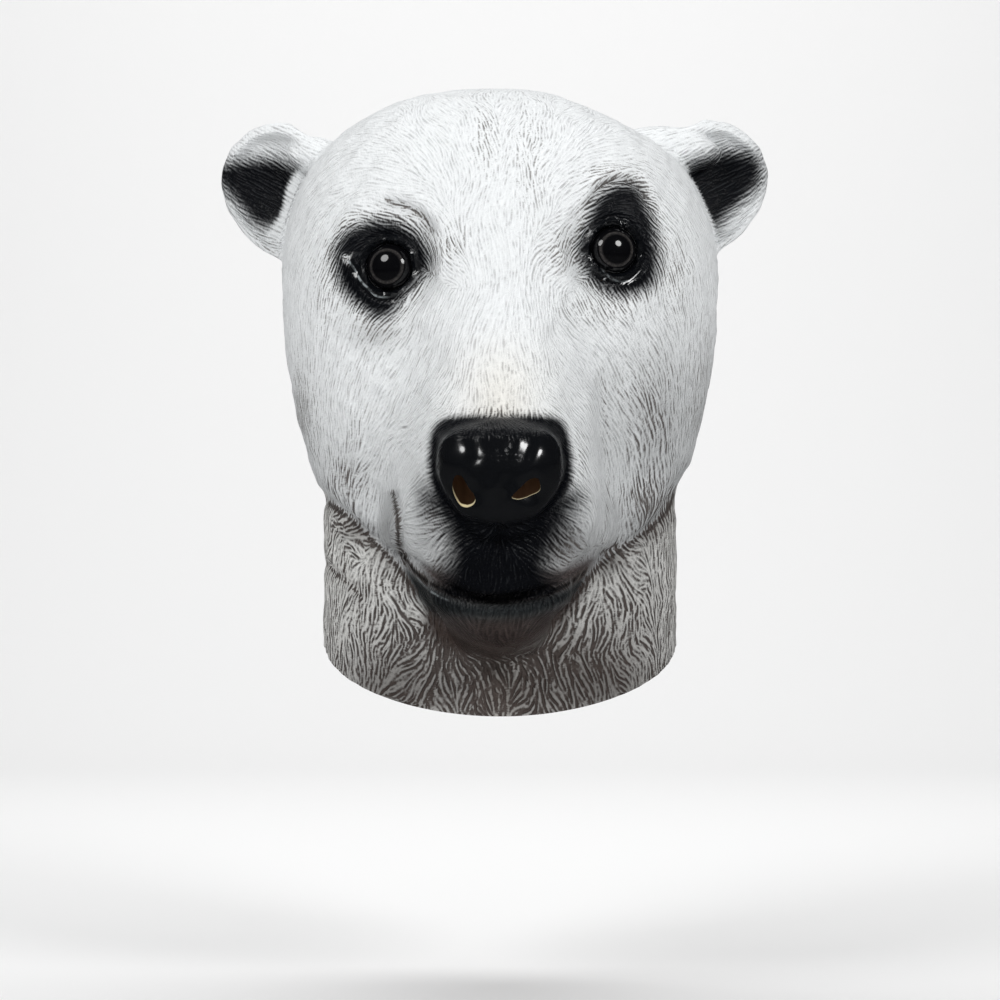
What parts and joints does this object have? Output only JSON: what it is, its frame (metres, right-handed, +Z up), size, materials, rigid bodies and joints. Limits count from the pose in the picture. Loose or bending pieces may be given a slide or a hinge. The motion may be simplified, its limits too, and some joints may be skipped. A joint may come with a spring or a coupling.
{
  "type": "full-head latex polar bear mask",
  "caption": "Full-head white bear mask cast in soft latex with sculpted fur, cupped ears, a black nose, a neck skirt and glossy plastic eyes.",
  "frame": {"origin": "inside of the crown, where the mask rests on the top of the head", "axes": "+Z up, the face looks along -Y, +X to the viewer's right"},
  "size_m": [0.3016, 0.2847, 0.339],
  "materials": {
    "latex_fur": "painted natural latex with sculpted fur relief, satin",
    "eye_plastic": "polished, clear coated"
  },
  "bodies": {
    "root": {"mask_shell": "latex_fur", "eye_right": "eye_plastic", "eye_left": "eye_plastic"}
  },
  "joints": []
}
